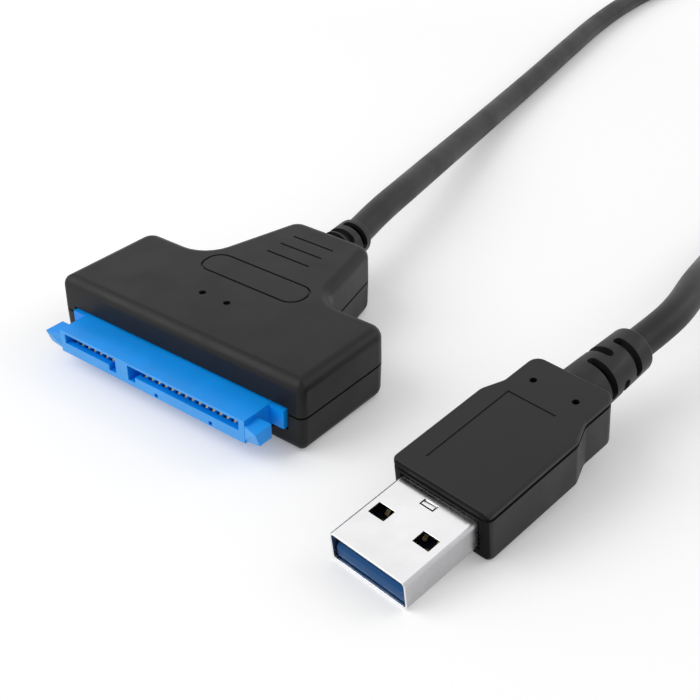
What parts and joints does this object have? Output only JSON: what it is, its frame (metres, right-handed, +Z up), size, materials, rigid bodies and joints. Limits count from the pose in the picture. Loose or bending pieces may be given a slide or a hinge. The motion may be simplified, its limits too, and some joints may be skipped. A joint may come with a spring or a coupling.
{
  "type": "usb to sata adapter cable",
  "caption": "T-shaped drive adapter: a two-shell black housing with a blue drive connector in front, and a cable from its stem that ends in a moulded plug with a folded metal shell.",
  "frame": {"origin": "on the surface that the adapter lies on, under the middle of the box of the housing with its connector and strain relief", "axes": "+Z up; -Y out of the drive connector's mating face; +Y out of the stem, towards the cable; +X to the power side of the connector"},
  "size_m": [0.0902, 0.271, 0.0126],
  "materials": {
    "housing": "charcoal plastic, satin",
    "jacket": "soft black moulding",
    "connector_blue": "azure plastic",
    "tongue_blue": "dark blue plastic",
    "shell_metal": "bright plated sheet",
    "contact_metal": "gold-plated strip",
    "board": "green lacquered board",
    "component": "black component body",
    "ceramic": "tan ceramic",
    "lens": "clear lens",
    "wire_red": "red insulation",
    "wire_white": "white insulation",
    "wire_green": "green insulation",
    "wire_black": "black insulation",
    "wire_blue": "blue insulation",
    "wire_yellow": "yellow insulation",
    "wire_violet": "violet insulation",
    "wire_orange": "orange insulation"
  },
  "bodies": {
    "root": {"activity_light": "lens", "bridge_chip": "component", "cable": "jacket", "cable_strain_relief": "jacket", "capacitor_1": "ceramic", "capacitor_2": "ceramic", "capacitor_3": "ceramic", "circuit_board": "board", "crystal": "shell_metal", "housing_lower_shell": "housing", "housing_upper_shell": "housing", "inner_wire_1": "wire_red", "inner_wire_2": "wire_white", "inner_wire_3": "wire_green", "inner_wire_4": "wire_black", "inner_wire_5": "wire_blue", "inner_wire_6": "wire_yellow", "inner_wire_7": "wire_violet", "inner_wire_8": "wire_orange", "plug_contact_1": "contact_metal", "plug_contact_2": "contact_metal", "plug_contact_3": "contact_metal", "plug_contact_4": "contact_metal", "plug_contact_5": "contact_metal", "plug_contact_6": "contact_metal", "plug_contact_7": "contact_metal", "plug_contact_8": "contact_metal", "plug_contact_9": "contact_metal", "plug_moulding": "jacket", "plug_shell": "shell_metal", "plug_tongue": "tongue_blue", "power_contact_1": "contact_metal", "power_contact_10": "contact_metal", "power_contact_11": "contact_metal", "power_contact_12": "contact_metal", "power_contact_13": "contact_metal", "power_contact_14": "contact_metal", "power_contact_15": "contact_metal", "power_contact_2": "contact_metal", "power_contact_3": "contact_metal", "power_contact_4": "contact_metal", "power_contact_5": "contact_metal", "power_contact_6": "contact_metal", "power_contact_7": "contact_metal", "power_contact_8": "contact_metal", "power_contact_9": "contact_metal", "power_inductor": "component", "power_light": "lens", "sata_connector_body": "connector_blue", "signal_contact_1": "contact_metal", "signal_contact_2": "contact_metal", "signal_contact_3": "contact_metal", "signal_contact_4": "contact_metal", "signal_contact_5": "contact_metal", "signal_contact_6": "contact_metal", "signal_contact_7": "contact_metal", "voltage_regulator": "component"}
  },
  "joints": []
}
